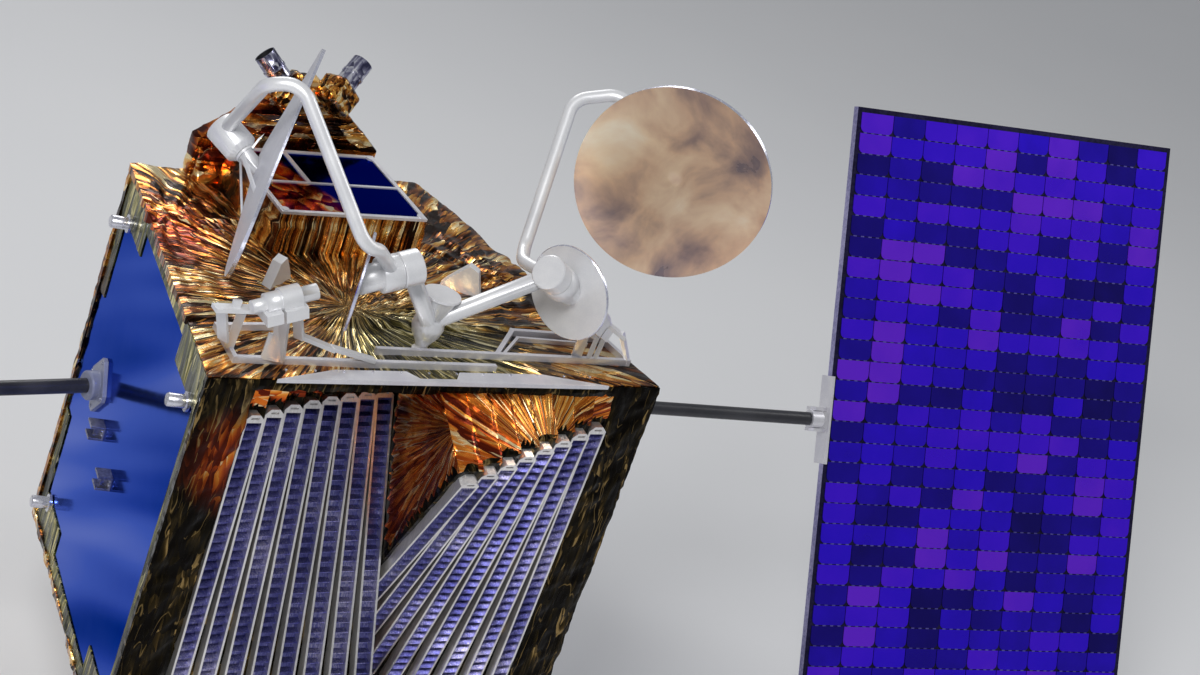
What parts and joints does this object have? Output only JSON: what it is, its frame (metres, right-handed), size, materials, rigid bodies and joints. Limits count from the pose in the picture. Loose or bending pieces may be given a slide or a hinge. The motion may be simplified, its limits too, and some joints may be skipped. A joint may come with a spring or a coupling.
{
  "type": "communications satellite",
  "caption": "Small communications satellite, foil-wrapped wedge body with slotted waveguide bars, two solar wings and two steered dish antennas.",
  "frame": {"origin": "centre of the bolted interface on the narrow back face, in the plane of the four pads, at mid height", "axes": "+Y out of the back interface, +X towards the right wing, +Z towards the face with the dish antennas"},
  "size_m": [6.3512, 1.3423, 2.1989],
  "materials": {
    "white_paint": "matte thermal paint",
    "gold_foil": "crinkled amber film over metal foil",
    "green_gold_foil": "crinkled film, darker tone",
    "mirror": "second-surface mirror",
    "waveguide": "satin machined",
    "structure": "satin",
    "black_tube": "satin black",
    "solar_cell": "cover glass over dark cells",
    "panel_back": "satin sheet",
    "dish_face": "polished reflector face",
    "baffle_silver": "bright film"
  },
  "bodies": {
    "bus": {"bus_structure": "structure", "blanket_front": "gold_foil", "blanket_top": "gold_foil", "blanket_bottom": "gold_foil", "blanket_back": "gold_foil", "side_blankets": "green_gold_foil", "radiators": "mirror", "hold_downs": "white_paint", "saddle_brackets": "white_paint", "drive_flanges": "white_paint", "waveguide_cases": "gold_foil", "waveguide_bars_left": "waveguide", "waveguide_bars_right": "waveguide", "feed_tray": "white_paint", "shelf_frames": "white_paint", "feed_horns": "white_paint", "feed_brackets": "white_paint", "antenna_post": "white_paint", "post_cone": "white_paint", "azimuth_bases": "white_paint", "dish_cradles": "white_paint", "mirror_box": "gold_foil", "box_mirrors": "mirror", "box_frame": "white_paint", "rear_housing": "gold_foil", "tracker_heads": "gold_foil", "tracker_baffles": "baffle_silver", "dispenser_pads": "structure"},
    "wing_left": {"boom_left": "black_tube", "panel_bracket_left": "structure", "panel_left": "panel_back", "cells_left": "solar_cell"},
    "antenna_mast_left": {"azimuth_drum_left": "white_paint", "subreflector_left": "white_paint", "antenna_arm_left": "white_paint", "elevation_motor_left": "white_paint"},
    "dish_left_body": {"dish_left": "dish_face", "dish_hub_left": "white_paint"},
    "wing_right": {"boom_right": "black_tube", "panel_bracket_right": "structure", "panel_right": "panel_back", "cells_right": "solar_cell"},
    "antenna_mast_right": {"azimuth_drum_right": "white_paint", "subreflector_right": "white_paint", "antenna_arm_right": "white_paint", "elevation_motor_right": "white_paint"},
    "dish_right_body": {"dish_right": "dish_face", "dish_hub_right": "white_paint"}
  },
  "joints": [
    {"name": "wing_drive_left", "type": "hinge", "parent": "bus", "child": "wing_left", "pos_m": [-0.48453, -0.278, 0.028], "axis": [-0.9963, -0.0863, 0], "continuous": true},
    {"name": "azimuth_left", "type": "hinge", "parent": "bus", "child": "antenna_mast_left", "pos_m": [-0.33798, -1.07927, 0.82855], "axis": [0.9527, 0.0017, 0.304], "range_deg": [-10, 60]},
    {"name": "elevation_left", "type": "hinge", "parent": "antenna_mast_left", "child": "dish_left_body", "pos_m": [-0.33798, -1.07927, 0.82855], "axis": [-0.4229, 0.8516, 0.3096], "range_deg": [-20, 60]},
    {"name": "wing_drive_right", "type": "hinge", "parent": "bus", "child": "wing_right", "pos_m": [0.48453, -0.278, 0.028], "axis": [0.9963, -0.0863, 0], "continuous": true},
    {"name": "azimuth_right", "type": "hinge", "parent": "bus", "child": "antenna_mast_right", "pos_m": [0.31102, -1.02664, 0.79266], "axis": [-0.7852, -0.3252, 0.527], "range_deg": [-60, 30]},
    {"name": "elevation_right", "type": "hinge", "parent": "antenna_mast_right", "child": "dish_right_body", "pos_m": [0.31102, -1.02664, 0.79266], "axis": [0.7128, 0.2719, 0.6466], "range_deg": [-40, 60]}
  ]
}
